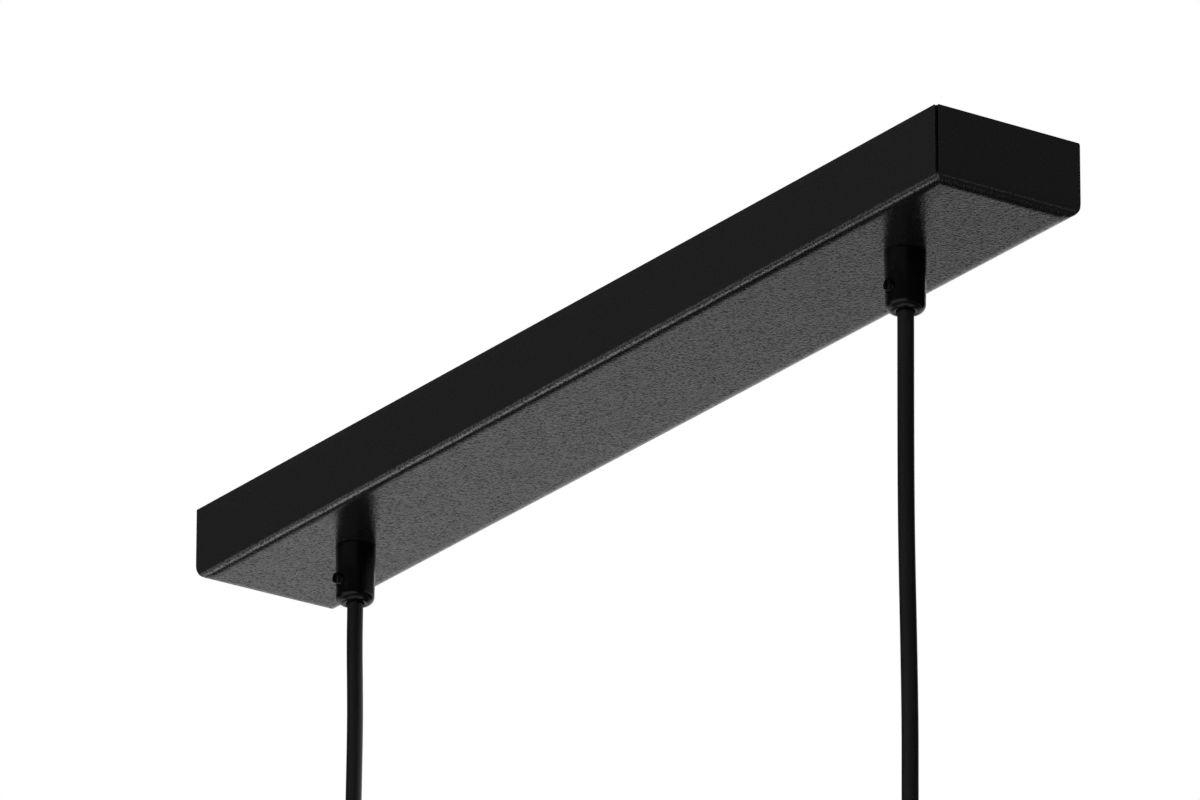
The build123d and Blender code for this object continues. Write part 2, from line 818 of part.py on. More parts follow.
save(mounting_bracket(), "mounting_bracket")
save(canopy(), "canopy")
save(canopy_screws(), "canopy_screws")
save(canopy_nuts(), "canopy_nuts")
save(terminal_block(), "terminal_block")
save(terminal_inserts(), "terminal_inserts")
save(terminal_screws(), "terminal_screws")
save(block_nuts(), "block_nuts")
save(earth_washer(), "earth_washer")
save(earth_lug(), "earth_lug")
save(earth_nut(), "earth_nut")
save(wire(earth_wire_route(), "earth_wire"), "earth_wire")

for side, x in outlet_x.items():
    save(cord_grip(x, floor_bottom, nose_down=True), f"{side}_cord_grip")
    save(lock_washer(x), f"{side}_lock_washer")
    save(grip_nut(x), f"{side}_grip_nut")
    save(clamp_screw(x, floor_bottom - clamp_height, clamp_proud[side]), f"{side}_clamp_screw")
    save(held_cord(x), f"{side}_held_cord")
    for colour, front_lane in (("brown", True), ("blue", False)):
        name = f"{side}_{colour}_wire"
        save(wire(cord_wire_route(side, front_lane), name), name)
    save(free_cord(x, mouth_z, neck_end_z + cord_radius + flex_gap), f"{side}_cord_neck")
    save(free_cord(x, neck_end_z, cap_top_z - grip_stem_length - cord_into_cap), f"{side}_cord")
    save(cord_grip(x, cap_top_z, nose_down=False), f"{side}_holder_grip")
    save(clamp_screw(x, cap_top_z + clamp_height, clamp_proud_holder), f"{side}_holder_screw")
    save(holder_cap(x), f"{side}_holder_cap")
    save(holder_shell(x), f"{side}_holder_shell")
    save(contact_carrier(x), f"{side}_contact_carrier")
    save(contact_screws(x), f"{side}_contact_screws")
    save(centre_contact(x), f"{side}_centre_contact")
    save(screw_sleeve(x), f"{side}_screw_sleeve")
    save(shade_ring(x), f"{side}_shade_ring")
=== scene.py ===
from math import atan2, cos, pi, radians, sin

import bmesh
import bpy
from mathutils import Matrix, Vector


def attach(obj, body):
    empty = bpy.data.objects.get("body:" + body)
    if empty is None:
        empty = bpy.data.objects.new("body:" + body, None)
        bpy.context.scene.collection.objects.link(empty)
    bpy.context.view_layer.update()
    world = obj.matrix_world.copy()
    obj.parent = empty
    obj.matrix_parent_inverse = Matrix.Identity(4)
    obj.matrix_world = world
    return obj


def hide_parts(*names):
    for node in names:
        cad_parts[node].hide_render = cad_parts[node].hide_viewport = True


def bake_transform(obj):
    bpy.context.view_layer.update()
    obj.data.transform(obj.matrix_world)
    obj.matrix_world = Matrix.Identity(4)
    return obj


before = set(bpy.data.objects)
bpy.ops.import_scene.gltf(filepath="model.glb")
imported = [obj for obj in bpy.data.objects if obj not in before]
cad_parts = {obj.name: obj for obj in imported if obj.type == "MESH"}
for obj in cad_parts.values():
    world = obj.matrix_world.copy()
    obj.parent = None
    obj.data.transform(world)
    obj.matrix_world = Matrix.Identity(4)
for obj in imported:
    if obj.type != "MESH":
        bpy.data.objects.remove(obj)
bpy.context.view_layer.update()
bpy.context.scene.view_settings.view_transform = "Standard"
mm = 0.001


# Ceiling bracket: a flat strap with a folded cross piece at each end, punched from mild steel and
# zinc plated. Screws through its slots hold it to the ceiling, and its lugs carry the canopy.
def linear(colour):
    """An sRGB hex colour as the linear RGBA that a shader takes."""
    parts = [int(colour[i:i + 2], 16) / 255 for i in (1, 3, 5)]
    return [p / 12.92 if p <= 0.04045 else ((p + 0.055) / 1.055) ** 2.4 for p in parts] + [1]


def add(tree, kind, inputs=None, **settings):
    """Adds a node with its settings. An input is a value, or the output that it is linked from."""
    node = tree.nodes.new(kind)
    for name, value in settings.items():
        setattr(node, name, value)
    for name, value in (inputs or {}).items():
        if isinstance(value, bpy.types.NodeSocket):
            tree.links.new(value, node.inputs[name])
        else:
            node.inputs[name].default_value = value
    return node


def start_material(name):
    """A new material, its node tree, its shader and the coordinates of the piece that has it."""
    material = bpy.data.materials.new(name)
    material.use_nodes = True
    tree = material.node_tree
    where = add(tree, "ShaderNodeTexCoord").outputs["Object"]
    return material, tree, tree.nodes["Principled BSDF"], where


# Bright zinc plate: a pale, faintly blue metal, cloudy from its passivation, with fine rolling
# lines along the strip
zinc, tree, shader, where = start_material("zinc_plated_steel")
zinc_cloud = 7 * mm
rolling_line, line_depth = 0.5 * mm, 0.02 * mm
cloud = add(tree, "ShaderNodeTexNoise", {"Vector": where, "Scale": 1 / zinc_cloud, "Detail": 3})
tint = add(
    tree, "ShaderNodeMix", {0: cloud.outputs[0], 6: linear("#a3a8ad"), 7: linear("#c9cac6")},
    data_type="RGBA",
)
gloss = add(
    tree, "ShaderNodeMapRange", {0: cloud.outputs[0], 1: 0.3, 2: 0.7, 3: 0.24, 4: 0.42}
)
rolled = add(tree, "ShaderNodeMapping", {"Vector": where, "Scale": (0.05, 1, 1)})
lines = add(
    tree, "ShaderNodeTexNoise",
    {"Vector": rolled.outputs[0], "Scale": 1 / rolling_line, "Detail": 2},
)
relief = add(
    tree, "ShaderNodeBump",
    {"Height": lines.outputs[0], "Strength": 0.25, "Distance": line_depth},
)
tree.links.new(tint.outputs[2], shader.inputs["Base Color"])
tree.links.new(gloss.outputs[0], shader.inputs["Roughness"])
tree.links.new(relief.outputs[0], shader.inputs["Normal"])
shader.inputs["Metallic"].default_value = 1


def soften(bm, radius, segments=2, above=-1):
    """Rounds the outer edges that turn by over 35 degrees, as tumbling or a mould leaves them."""
    sharp = [
        e for e in bm.edges
        if e.is_manifold and e.is_convex and e.calc_face_angle() > radians(35)
        and min(v.co.z for v in e.verts) > above
    ]
    bmesh.ops.bevel(
        bm, geom=sharp, offset=radius, segments=segments, profile=0.5, affect="EDGES",
        clamp_overlap=False, material=-1,
    )


def refined(node, radius):
    """A merged copy of a CAD node with its sharp edges rounded."""
    bm = bmesh.new()
    bm.from_mesh(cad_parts[node].data)
    bmesh.ops.remove_doubles(bm, verts=bm.verts, dist=0.002 * mm)
    bmesh.ops.dissolve_limit(bm, angle_limit=radians(0.5), verts=bm.verts, edges=bm.edges)
    soften(bm, radius)
    return bm


def piece(bm, name, material, body=None, nodes=()):
    """Makes a finished mesh a piece that rides on a body and stands for CAD nodes."""
    mesh = bpy.data.meshes.new(name)
    bm.to_mesh(mesh)
    bm.free()
    mesh.materials.append(material)
    mesh.shade_smooth()
    mesh.set_sharp_from_angle(angle=radians(32))
    obj = bpy.data.objects.new(name, mesh)
    bpy.context.scene.collection.objects.link(obj)
    obj.modifiers.new("even_shading", "WEIGHTED_NORMAL").keep_sharp = True
    if body:
        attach(obj, body)
    if nodes:
        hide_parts(*nodes)
    return obj


strap_edge = 0.2 * mm
piece(refined("mounting_bracket", strap_edge), "ceiling_strap", zinc, "bracket",
      ["mounting_bracket"])


# Canopy: one sheet of 1.2 mm steel, cut out flat, folded up on four sides and powder coated. The
# folds run out softly, fuller than a plain arc, and the flaps meet in a narrow dark seam at each
# corner. The seam stays closed at its back, so that no light comes through it.
canopy_length, canopy_width, canopy_height = 450 * mm, 60 * mm, 26.5 * mm
sheet = 1.2 * mm
fold_reach, fold_fullness = 6 * mm, 0.63
corner_round = 0.6 * mm
seam_gap, seam_depth, seam_foot = 1.0 * mm, 1.5 * mm, 0.8 * mm
outlets = {"left": -166 * mm, "right": 166 * mm}
outlet_hole_radius = 5.1 * mm
fixing_x, fixing_z = 190 * mm, -9 * mm
fixing_hole_radius = 2.2 * mm
floor_top = sheet - canopy_height
flap_foot = 0.6 * fold_reach - canopy_height
coated_edge = 0.18 * mm
through = 4 * sheet

# Fine-textured powder coat: baked black resin whose surface sets in small rounded grains. They are
# drawn a little coarser than life so that they show from the photo's distance.
powder_coat, tree, shader, where = start_material("textured_black_powder_coat")
grain_size = 0.9 * mm
grain_height = 0.09 * mm
patch_size = 14 * mm
grain = add(
    tree, "ShaderNodeTexNoise",
    {"Vector": where, "Scale": 1 / grain_size, "Detail": 2, "Roughness": 0.6},
)
patch = add(tree, "ShaderNodeTexNoise", {"Vector": where, "Scale": 1 / patch_size, "Detail": 2})
coat_tint = add(
    tree, "ShaderNodeMix", {0: grain.outputs[0], 6: linear("#1a1a1b"), 7: linear("#212122")},
    data_type="RGBA",
)
coat_gloss = add(
    tree, "ShaderNodeMapRange", {0: patch.outputs[0], 1: 0.3, 2: 0.7, 3: 0.17, 4: 0.22}
)
coat_sheen = add(
    tree, "ShaderNodeMapRange", {0: grain.outputs[0], 1: 0.36, 2: 0.64, 3: 0.06, 4: 1.0}
)
coat_relief = add(
    tree, "ShaderNodeBump",
    {"Height": grain.outputs[0], "Strength": 0.9, "Distance": grain_height},
)
tree.links.new(coat_tint.outputs[2], shader.inputs["Base Color"])
tree.links.new(coat_gloss.outputs[0], shader.inputs["Roughness"])
tree.links.new(coat_relief.outputs[0], shader.inputs["Normal"])
tree.links.new(coat_sheen.outputs[0], shader.inputs["Specular IOR Level"])
shader.inputs["IOR"].default_value = 1.5


def block(size, centre):
    """A plain box, as a blank or a punch."""
    bm = bmesh.new()
    bmesh.ops.create_cube(bm, size=1)
    bmesh.ops.scale(bm, vec=size, verts=bm.verts)
    bmesh.ops.translate(bm, vec=centre, verts=bm.verts)
    return bm


def drill(radius, depth, centre, axis="Z", sides=64):
    """A round bar about an axis, as a blank or a drill."""
    turn = Matrix.Rotation(radians(90), 4, "X") if axis == "Y" else Matrix()
    bm = bmesh.new()
    bmesh.ops.create_cone(
        bm, cap_ends=True, segments=sides, radius1=radius, radius2=radius, depth=depth,
        matrix=Matrix.Translation(centre) @ turn,
    )
    return bm


def joined(*shapes):
    """Several meshes as one."""
    result = bmesh.new()
    for bm in shapes:
        mesh = bpy.data.meshes.new("shape")
        bm.to_mesh(mesh)
        bm.free()
        result.from_mesh(mesh)
        bpy.data.meshes.remove(mesh)
    return result


def cut(blank, tool, operation="DIFFERENCE", tangled=False):
    """Cuts a closed tool out of a closed blank, or keeps what both share.

    The faces of a tangled blank or tool may cross one another.
    """
    shapes = []
    for bm in (blank, tool):
        mesh = bpy.data.meshes.new("shape")
        bm.to_mesh(mesh)
        bm.free()
        shapes.append(bpy.data.objects.new("shape", mesh))
        bpy.context.scene.collection.objects.link(shapes[-1])
    punch = shapes[0].modifiers.new("punch", "BOOLEAN")
    punch.operation, punch.object, punch.solver = operation, shapes[1], "EXACT"
    punch.use_self = tangled
    result = bmesh.new()
    result.from_object(shapes[0], bpy.context.evaluated_depsgraph_get())
    for obj in shapes:
        bpy.data.meshes.remove(obj.data)
    bmesh.ops.remove_doubles(result, verts=result.verts, dist=0.001 * mm)
    return result


bm = block((canopy_length, canopy_width, canopy_height), (0, 0, -canopy_height / 2))
bmesh.ops.delete(bm, geom=[f for f in bm.faces if f.normal.z > 0.9], context="FACES_ONLY")
folds = [e for e in bm.edges if max(v.co.z for v in e.verts) < -canopy_height / 2]
bmesh.ops.bevel(
    bm, geom=folds, offset=fold_reach, segments=18, profile=fold_fullness, affect="EDGES",
    material=-1,
)
# The corners where two flaps or two folds meet are rounded
overhang = (canopy_length - canopy_width) / 2
corners = [
    e for e in bm.edges
    if (e.verts[0].co.xy - e.verts[1].co.xy).length < fold_reach
    and e.calc_face_angle(0) > radians(30)
    and all(abs(abs(v.co.x) - abs(v.co.y) - overhang) < 0.01 * mm for v in e.verts)
]
bmesh.ops.bevel(
    bm, geom=corners, offset=corner_round, segments=4, profile=0.5, affect="EDGES",
    clamp_overlap=False, material=-1,
)
# The strips are divided near their ends, so that each fold keeps its own shading up to the corner
near_end = 1.3 * fold_reach
strip_x, strip_y = canopy_length / 2 - near_end, canopy_width / 2 - near_end
divisions = [((x, 0, 0), (1, 0, 0)) for x in (-strip_x, strip_x)]
divisions += [((0, y, 0), (0, 1, 0)) for y in (-strip_y, strip_y)]
for place, way in divisions:
    bmesh.ops.bisect_plane(
        bm, geom=bm.verts[:] + bm.edges[:] + bm.faces[:], plane_co=place, plane_no=way,
    )
bmesh.ops.recalc_face_normals(bm, faces=bm.faces)
if min(bm.faces, key=lambda f: f.calc_center_median().z).normal.z > 0:
    bmesh.ops.reverse_faces(bm, faces=bm.faces)
bmesh.ops.solidify(bm, geom=bm.faces, thickness=sheet)
bmesh.ops.recalc_face_normals(bm, faces=bm.faces)
punches = []
for end in (-1, 1):
    for flap in (-1, 1):
        corner = (end * canopy_length / 2, flap * canopy_width / 2, seam_foot - canopy_height / 2)
        slit = block((seam_gap, 2 * seam_depth, canopy_height), (0, 0, 0))
        mitre = Matrix.Rotation(radians(-45 * end * flap), 3, "Z")
        bmesh.ops.rotate(slit, verts=slit.verts, matrix=mitre)
        bmesh.ops.translate(slit, vec=corner, verts=slit.verts)
        punches.append(slit)
    outlet = (end * outlets["right"], 0, floor_top)
    punches.append(drill(outlet_hole_radius, through, outlet))
    fixing = (end * fixing_x, canopy_width / 2, fixing_z)
    punches.append(drill(fixing_hole_radius, through, fixing, "Y"))
bm = cut(bm, joined(*punches), tangled=True)
soften(bm, coated_edge, above=flap_foot)
piece(bm, "folded_canopy", powder_coat, "canopy", ["canopy"])


# Weld studs: threaded pins fired on to the canopy's floor, two for the terminal block and one for
# the earth. They are plated steel with a rolled thread, masked when the sheet is coated.
def wound(tooth, pitch, bottom, top, steps=32):
    """Winds one tooth of (radius, share of pitch) pairs up the Z axis, cut square at both ends."""
    bm = bmesh.new()
    start = bottom - 1.5 * pitch
    turns = int((top - bottom) / pitch) + 3
    verts = [bm.verts.new((radius, 0, start + share * pitch)) for radius, share in tooth]
    edges = [bm.edges.new(pair) for pair in zip(verts, verts[1:])]
    bmesh.ops.spin(
        bm, geom=verts + edges, axis=(0, 0, 1), cent=(0, 0, 0), dvec=(0, 0, pitch / steps),
        angle=2 * pi * turns, steps=steps * turns,
    )
    bmesh.ops.remove_doubles(bm, verts=bm.verts, dist=0.003 * mm)
    for height, way in ((bottom, -1), (top, 1)):
        bmesh.ops.bisect_plane(
            bm, geom=bm.verts[:] + bm.edges[:] + bm.faces[:], plane_co=(0, 0, height),
            plane_no=(0, 0, way), clear_outer=True,
        )
    bmesh.ops.recalc_face_normals(bm, faces=bm.faces)
    return bm


def threaded(core, crest, pitch, bottom, top, steps=32):
    """A threaded bar about the Z axis."""
    bm = wound([(core, 0), (crest, 0.42), (crest, 0.58), (core, 1)], pitch, bottom, top, steps)
    bmesh.ops.holes_fill(bm, edges=[e for e in bm.edges if e.is_boundary])
    bmesh.ops.recalc_face_normals(bm, faces=bm.faces)
    return bm


def moved(bm, x, y, z, turn=0):
    """Turns a mesh about the X axis and carries it from the origin to its place."""
    bmesh.ops.rotate(bm, verts=bm.verts, matrix=Matrix.Rotation(radians(turn), 3, "X"))
    bmesh.ops.translate(bm, vec=(x, y, z), verts=bm.verts)
    return bm


block_stud_x = 19.3 * mm
earth_x, earth_y = -61.3 * mm, 2 * mm
stud_core = 0.86
# Each stud's place on the floor, radius, thread pitch and height
stud_sizes = [
    (-block_stud_x, 0, 1.5 * mm, 0.5 * mm, 8.6 * mm),
    (block_stud_x, 0, 1.5 * mm, 0.5 * mm, 8.6 * mm),
    (earth_x, earth_y, 2 * mm, 0.7 * mm, 6.8 * mm),
]
studs = [
    moved(threaded(stud_core * radius, radius, pitch, 0, height), x, y, floor_top)
    for x, y, radius, pitch, height in stud_sizes
]
piece(joined(*studs), "weld_studs", zinc, "canopy")


# Canopy screws: two black pan-head machine screws with a cross recess, through the back flap into
# the bracket's open slots. They are cold headed, rolled and blackened in oil.

# Black oxide: a dark, faintly blue skin that the oil leaves glossier in patches
black_oxide, tree, shader, where = start_material("black_oxide_steel")
oil_patch = 1.5 * mm
patch = add(tree, "ShaderNodeTexNoise", {"Vector": where, "Scale": 1 / oil_patch, "Detail": 4})
oxide_tint = add(
    tree, "ShaderNodeMix", {0: patch.outputs[0], 6: linear("#141416"), 7: linear("#26262a")},
    data_type="RGBA",
)
oxide_gloss = add(
    tree, "ShaderNodeMapRange", {0: patch.outputs[0], 1: 0.3, 2: 0.7, 3: 0.28, 4: 0.5}
)
tree.links.new(oxide_tint.outputs[2], shader.inputs["Base Color"])
tree.links.new(oxide_gloss.outputs[0], shader.inputs["Roughness"])
shader.inputs["Metallic"].default_value = 0.6

head_radius, head_height, head_round = 3.8 * mm, 2.4 * mm, 0.9 * mm
recess_length, recess_width, recess_depth = 4.6 * mm, 0.9 * mm, 1.2 * mm
shank_radius, shank_length = 2 * mm, 8.7 * mm
shank_core, shank_pitch = 0.84 * shank_radius, 0.7 * mm


def turned(profile, steps=64):
    """Spins a closed profile of (radius, height) pairs about the Z axis."""
    bm = bmesh.new()
    verts = [bm.verts.new((radius, 0, height)) for radius, height in profile]
    edges = [bm.edges.new(pair) for pair in zip(verts, verts[1:] + verts[:1])]
    bmesh.ops.spin(
        bm, geom=verts + edges, axis=(0, 0, 1), cent=(0, 0, 0), angle=2 * pi, steps=steps,
        use_merge=True,
    )
    bmesh.ops.remove_doubles(bm, verts=bm.verts, dist=0.001 * mm)
    bmesh.ops.recalc_face_normals(bm, faces=bm.faces)
    return bm


def round_ring(bm, radius, height, by, segments=6):
    """Rounds the turned edge that lies at a radius and a height."""
    ring = [
        e for e in bm.edges
        if all(
            abs(v.co.xy.length - radius) < 0.002 * mm and abs(v.co.z - height) < 0.002 * mm
            for v in e.verts
        )
    ]
    bmesh.ops.bevel(
        bm, geom=ring, offset=by, segments=segments, profile=0.5, affect="EDGES",
        clamp_overlap=False, material=-1,
    )


screws = []
for x in (-fixing_x, fixing_x):
    head = drill(head_radius, head_height, (0, 0, head_height / 2))
    round_ring(head, head_radius, head_height, head_round)
    for size in ((recess_length, recess_width), (recess_width, recess_length)):
        head = cut(head, block((*size, 2 * recess_depth), (0, 0, head_height)))
    shank = threaded(shank_core, shank_radius, shank_pitch, -shank_length, 0)
    screws.append(moved(joined(head, shank), x, canopy_width / 2, fixing_z, turn=-90))
piece(joined(*screws), "pan_head_screws", black_oxide, "canopy", ["canopy_screws"])


# Nuts and washers: zinc-plated hexagon nuts with chamfered corners on the canopy screws, the studs
# and the grips' stems, plain and toothed washers under them, and the terminal block's own screws.
def hexagon_nut(flats, height, bore):
    """A hexagon bar, chamfered by a turned cone at both faces and bored."""
    corner = flats / 2 / cos(pi / 6)
    bar = drill(corner, height, (0, 0, height / 2), sides=6)
    bmesh.ops.rotate(bar, verts=bar.verts, matrix=Matrix.Rotation(radians(30), 3, "Z"))
    face = 0.96 * flats / 2
    rise = 0.58 * (corner - face)
    barrel = turned([
        (0, 0), (face, 0), (corner, rise), (corner, height - rise), (face, height), (0, height),
    ])
    mouth, above, sunk = 1.6 * bore, 0.35 * bore, 0.25 * bore
    hole = turned([
        (0, -bore), (mouth, -above), (bore, sunk), (bore, height - sunk), (mouth, height + above),
        (0, height + bore),
    ])
    return cut(cut(bar, barrel, "INTERSECT"), hole)


# Each nut's width across flats, height and bore radius
screw_nut = (7 * mm, 3.2 * mm, 1.9 * mm)
block_nut = (5.5 * mm, 2.4 * mm, 1.4 * mm)
stem_nut = (14 * mm, 3 * mm, 4.8 * mm)
lug_face_y = 26.9 * mm
ear_height, lug_height, washer_thickness = 5 * mm, 1.6 * mm, 0.8 * mm
nut_sets = {
    "canopy_nuts": [
        moved(hexagon_nut(*screw_nut), x, lug_face_y, fixing_z, turn=90)
        for x in (-fixing_x, fixing_x)
    ],
    "block_nuts": [
        moved(hexagon_nut(*block_nut), x, 0, floor_top + ear_height)
        for x in (-block_stud_x, block_stud_x)
    ],
    "earth_nut": [moved(hexagon_nut(*screw_nut), earth_x, earth_y, floor_top + lug_height)],
}
for side, x in outlets.items():
    nut = moved(hexagon_nut(*stem_nut), x, 0, floor_top + washer_thickness)
    nut_sets[f"{side}_grip_nut"] = [nut]
for node, nuts in nut_sets.items():
    piece(joined(*nuts), f"{node}_hexagon", zinc, "canopy", [node])

stamped_edge = 0.1 * mm
for node in ("left_lock_washer", "right_lock_washer", "earth_washer", "terminal_screws"):
    piece(refined(node, stamped_edge), f"{node}_plated", zinc, "canopy", [node])


# Terminal block: three poles moulded in one strip of natural nylon, with ears for its two studs.
# The wires meet in drilled brass tubes inside it.

# Natural nylon: milky and a little translucent, with a faint satin cloud from the mould
nylon, tree, shader, where = start_material("natural_nylon")
melt_cloud = 5 * mm
cloud = add(tree, "ShaderNodeTexNoise", {"Vector": where, "Scale": 1 / melt_cloud, "Detail": 2})
nylon_tint = add(
    tree, "ShaderNodeMix", {0: cloud.outputs[0], 6: linear("#e0ddd0"), 7: linear("#ece9de")},
    data_type="RGBA",
)
nylon_gloss = add(
    tree, "ShaderNodeMapRange", {0: cloud.outputs[0], 1: 0.3, 2: 0.7, 3: 0.35, 4: 0.46}
)
tree.links.new(nylon_tint.outputs[2], shader.inputs["Base Color"])
tree.links.new(nylon_gloss.outputs[0], shader.inputs["Roughness"])
shader.inputs["IOR"].default_value = 1.53
shader.inputs["Subsurface Weight"].default_value = 0.25
shader.inputs["Subsurface Radius"].default_value = (1.2 * mm, 1.1 * mm, 0.9 * mm)

# Drawn brass: warm yellow, dulled in patches, with fine lines along the tube
brass, tree, shader, where = start_material("drawn_brass")
draw_line = 0.25 * mm
tarnish_size = 4 * mm
tarnish = add(
    tree, "ShaderNodeTexNoise", {"Vector": where, "Scale": 1 / tarnish_size, "Detail": 4}
)
brass_tint = add(
    tree, "ShaderNodeMix", {0: tarnish.outputs[0], 6: linear("#b08a3c"), 7: linear("#d9b965")},
    data_type="RGBA",
)
drawn = add(tree, "ShaderNodeMapping", {"Vector": where, "Scale": (1, 0.05, 1)})
lines = add(
    tree, "ShaderNodeTexNoise", {"Vector": drawn.outputs[0], "Scale": 1 / draw_line, "Detail": 1}
)
brass_gloss = add(
    tree, "ShaderNodeMapRange", {0: lines.outputs[0], 1: 0.3, 2: 0.7, 3: 0.2, 4: 0.36}
)
tree.links.new(brass_tint.outputs[2], shader.inputs["Base Color"])
tree.links.new(brass_gloss.outputs[0], shader.inputs["Roughness"])
shader.inputs["Metallic"].default_value = 1

moulded_edge = 0.3 * mm
drilled_edge = 0.12 * mm
piece(refined("terminal_block", moulded_edge), "terminal_strip", nylon, "canopy",
      ["terminal_block"])
piece(refined("terminal_inserts", drilled_edge), "terminal_tubes", brass, "canopy",
      ["terminal_inserts"])


# Earth lug: a ring terminal pressed from tinned copper, clamped on its stud under a nut, with the
# earth wire crimped in its barrel.

# Tinned copper: a soft silver skin that ran a little unevenly as it set
tinned, tree, shader, where = start_material("tinned_copper")
tin_flow = 2.5 * mm
flow = add(tree, "ShaderNodeTexNoise", {"Vector": where, "Scale": 1 / tin_flow, "Detail": 3})
tin_tint = add(
    tree, "ShaderNodeMix", {0: flow.outputs[0], 6: linear("#bdb8ae"), 7: linear("#d8d6d0")},
    data_type="RGBA",
)
tin_gloss = add(
    tree, "ShaderNodeMapRange", {0: flow.outputs[0], 1: 0.3, 2: 0.7, 3: 0.22, 4: 0.38}
)
tree.links.new(tin_tint.outputs[2], shader.inputs["Base Color"])
tree.links.new(tin_gloss.outputs[0], shader.inputs["Roughness"])
shader.inputs["Metallic"].default_value = 1
piece(refined("earth_lug", stamped_edge), "earth_ring_lug", tinned, "canopy",
      ["earth_lug"])


# Wires: stranded copper in thin PVC, brown and blue from each cord to the outer poles and striped
# green and yellow from the earth lug to the middle one. Their stripped tips are tinned.
def insulation(name, base, stripe=None):
    """Extruded PVC: satin, faintly smeared, with an optional stripe on each side of the wire."""
    material, tree, shader, where = start_material(name)
    smear_size = 3 * mm
    smear = add(
        tree, "ShaderNodeTexNoise", {"Vector": where, "Scale": 1 / smear_size, "Detail": 3}
    )
    gloss = add(
        tree, "ShaderNodeMapRange", {0: smear.outputs[0], 1: 0.3, 2: 0.7, 3: 0.3, 4: 0.42}
    )
    tree.links.new(gloss.outputs[0], shader.inputs["Roughness"])
    shader.inputs["Base Color"].default_value = linear(base)
    shader.inputs["IOR"].default_value = 1.53
    if stripe:
        around = add(tree, "ShaderNodeAttribute", attribute_name="around")
        split = add(tree, "ShaderNodeSeparateXYZ", {0: around.outputs["Vector"]})
        side = add(tree, "ShaderNodeMath", {0: split.outputs[0]}, operation="ABSOLUTE")
        band = add(tree, "ShaderNodeMapRange", {0: side.outputs[0], 1: 0.66, 2: 0.74})
        paint = add(
            tree, "ShaderNodeMix", {0: band.outputs[0], 6: linear(base), 7: linear(stripe)},
            data_type="RGBA",
        )
        tree.links.new(paint.outputs[2], shader.inputs["Base Color"])
    return material


def line_through(points):
    """Points along the smooth line that a NURBS spline draws through a route's points."""
    curve = bpy.data.curves.new("route", "CURVE")
    curve.dimensions = "3D"
    spline = curve.splines.new("NURBS")
    spline.points.add(len(points) - 1)
    for control, place in zip(spline.points, points):
        control.co = (*place, 1)
    spline.order_u = 3
    spline.use_endpoint_u = True
    spline.resolution_u = 16
    route = bpy.data.objects.new("route", curve)
    mesh = bpy.data.meshes.new_from_object(route)
    line = [v.co.copy() for v in mesh.vertices]
    bpy.data.meshes.remove(mesh)
    bpy.data.curves.remove(curve)
    return line


def tube(line, radius, sides=20):
    """A closed tube along a line, which remembers how far round each point lies."""
    bm = bmesh.new()
    around = bm.verts.layers.float_vector.new("around")
    heading = (line[1] - line[0]).normalized()
    turn = Vector((0, 0, 1)).rotation_difference(heading)
    ring = bmesh.ops.create_circle(bm, segments=sides, radius=radius)["verts"]
    for v in ring:
        v[around] = v.co.normalized()
        v.co = turn @ v.co + line[0]
    edges = list({e for v in ring for e in v.link_edges})
    bmesh.ops.holes_fill(bm, edges=edges)
    for i in range(1, len(line)):
        ahead = (line[min(i + 1, len(line) - 1)] - line[i - 1]).normalized()
        grown = bmesh.ops.extrude_edge_only(bm, edges=edges)["geom"]
        verts = [g for g in grown if isinstance(g, bmesh.types.BMVert)]
        edges = [
            g for g in grown
            if isinstance(g, bmesh.types.BMEdge) and all(v in verts for v in g.verts)
        ]
        bend = heading.rotation_difference(ahead)
        bmesh.ops.translate(bm, vec=line[i] - line[i - 1], verts=verts)
        bmesh.ops.rotate(bm, verts=verts, cent=line[i], matrix=bend.to_matrix())
        heading = ahead
    bmesh.ops.holes_fill(bm, edges=edges)
    bmesh.ops.recalc_face_normals(bm, faces=bm.faces)
    return bm


def in_metres(points):
    """Route points given in millimetres."""
    return [Vector(point) * mm for point in points]


wire_radius, core_radius, tip_length = 1.1 * mm, 0.5 * mm, 4 * mm
brown = insulation("brown_pvc", "#5b3320")
blue = insulation("blue_pvc", "#2360a8")
green_yellow = insulation("green_yellow_pvc", "#3f8f3a", "#d8c52c")
# Each wire's way through the canopy, in millimetres
routes = {"earth_wire": (green_yellow, "earth_insulation", [
    (-51.3, 2, -22.7), (-43.3, 2, -22.7), (-32.3, -6.5, -23.6), (-19.3, -13, -24),
    (-6, -13.5, -24), (0, -12.7, -23.2), (0, -10.8, -20), (0, -7.8, -20),
])}
for side, x, inward in (("left", -166, 1), ("right", 166, -1)):
    for colour, material, start_y, lane_y, pole_x, turn_z in (
        ("brown", brown, -1.3, -22.5, -11, -20.4), ("blue", blue, 1.3, -18, 11, -24),
    ):
        end_x = pole_x - 1.3 * inward
        routes[f"{side}_{colour}_wire"] = (material, f"{colour}_insulation", [
            (x, start_y, -16), (x, start_y, -9.75), (x + 6 * inward, start_y - 0.8, -3.5),
            (x + 16 * inward, start_y - 3, -4.5), (x + 36 * inward, lane_y / 2, -16.5),
            (x + 60 * inward, lane_y + 2.5, -23), (x + 94 * inward, lane_y + 0.3, -24),
            (end_x - 22 * inward, lane_y - 0.3, -24), (end_x, lane_y + 0.6, turn_z),
            (end_x, -10.8, -20), (end_x, -7.8, -20),
        ])
tips = []
for node, (material, slot, points) in routes.items():
    line = line_through(in_metres(points))
    piece(tube(line, wire_radius), f"{node}_pvc", material, "canopy", [node])
    tips.append(tube([line[-1], line[-1] + Vector((0, tip_length, 0))], core_radius))
piece(joined(*tips), "tinned_wire_tips", tinned, "canopy")


# Cord grips: barrels moulded in black nylon with a rounded nose and a threaded stem, one under
# each outlet with its nose down and one on each lampholder with its nose up.

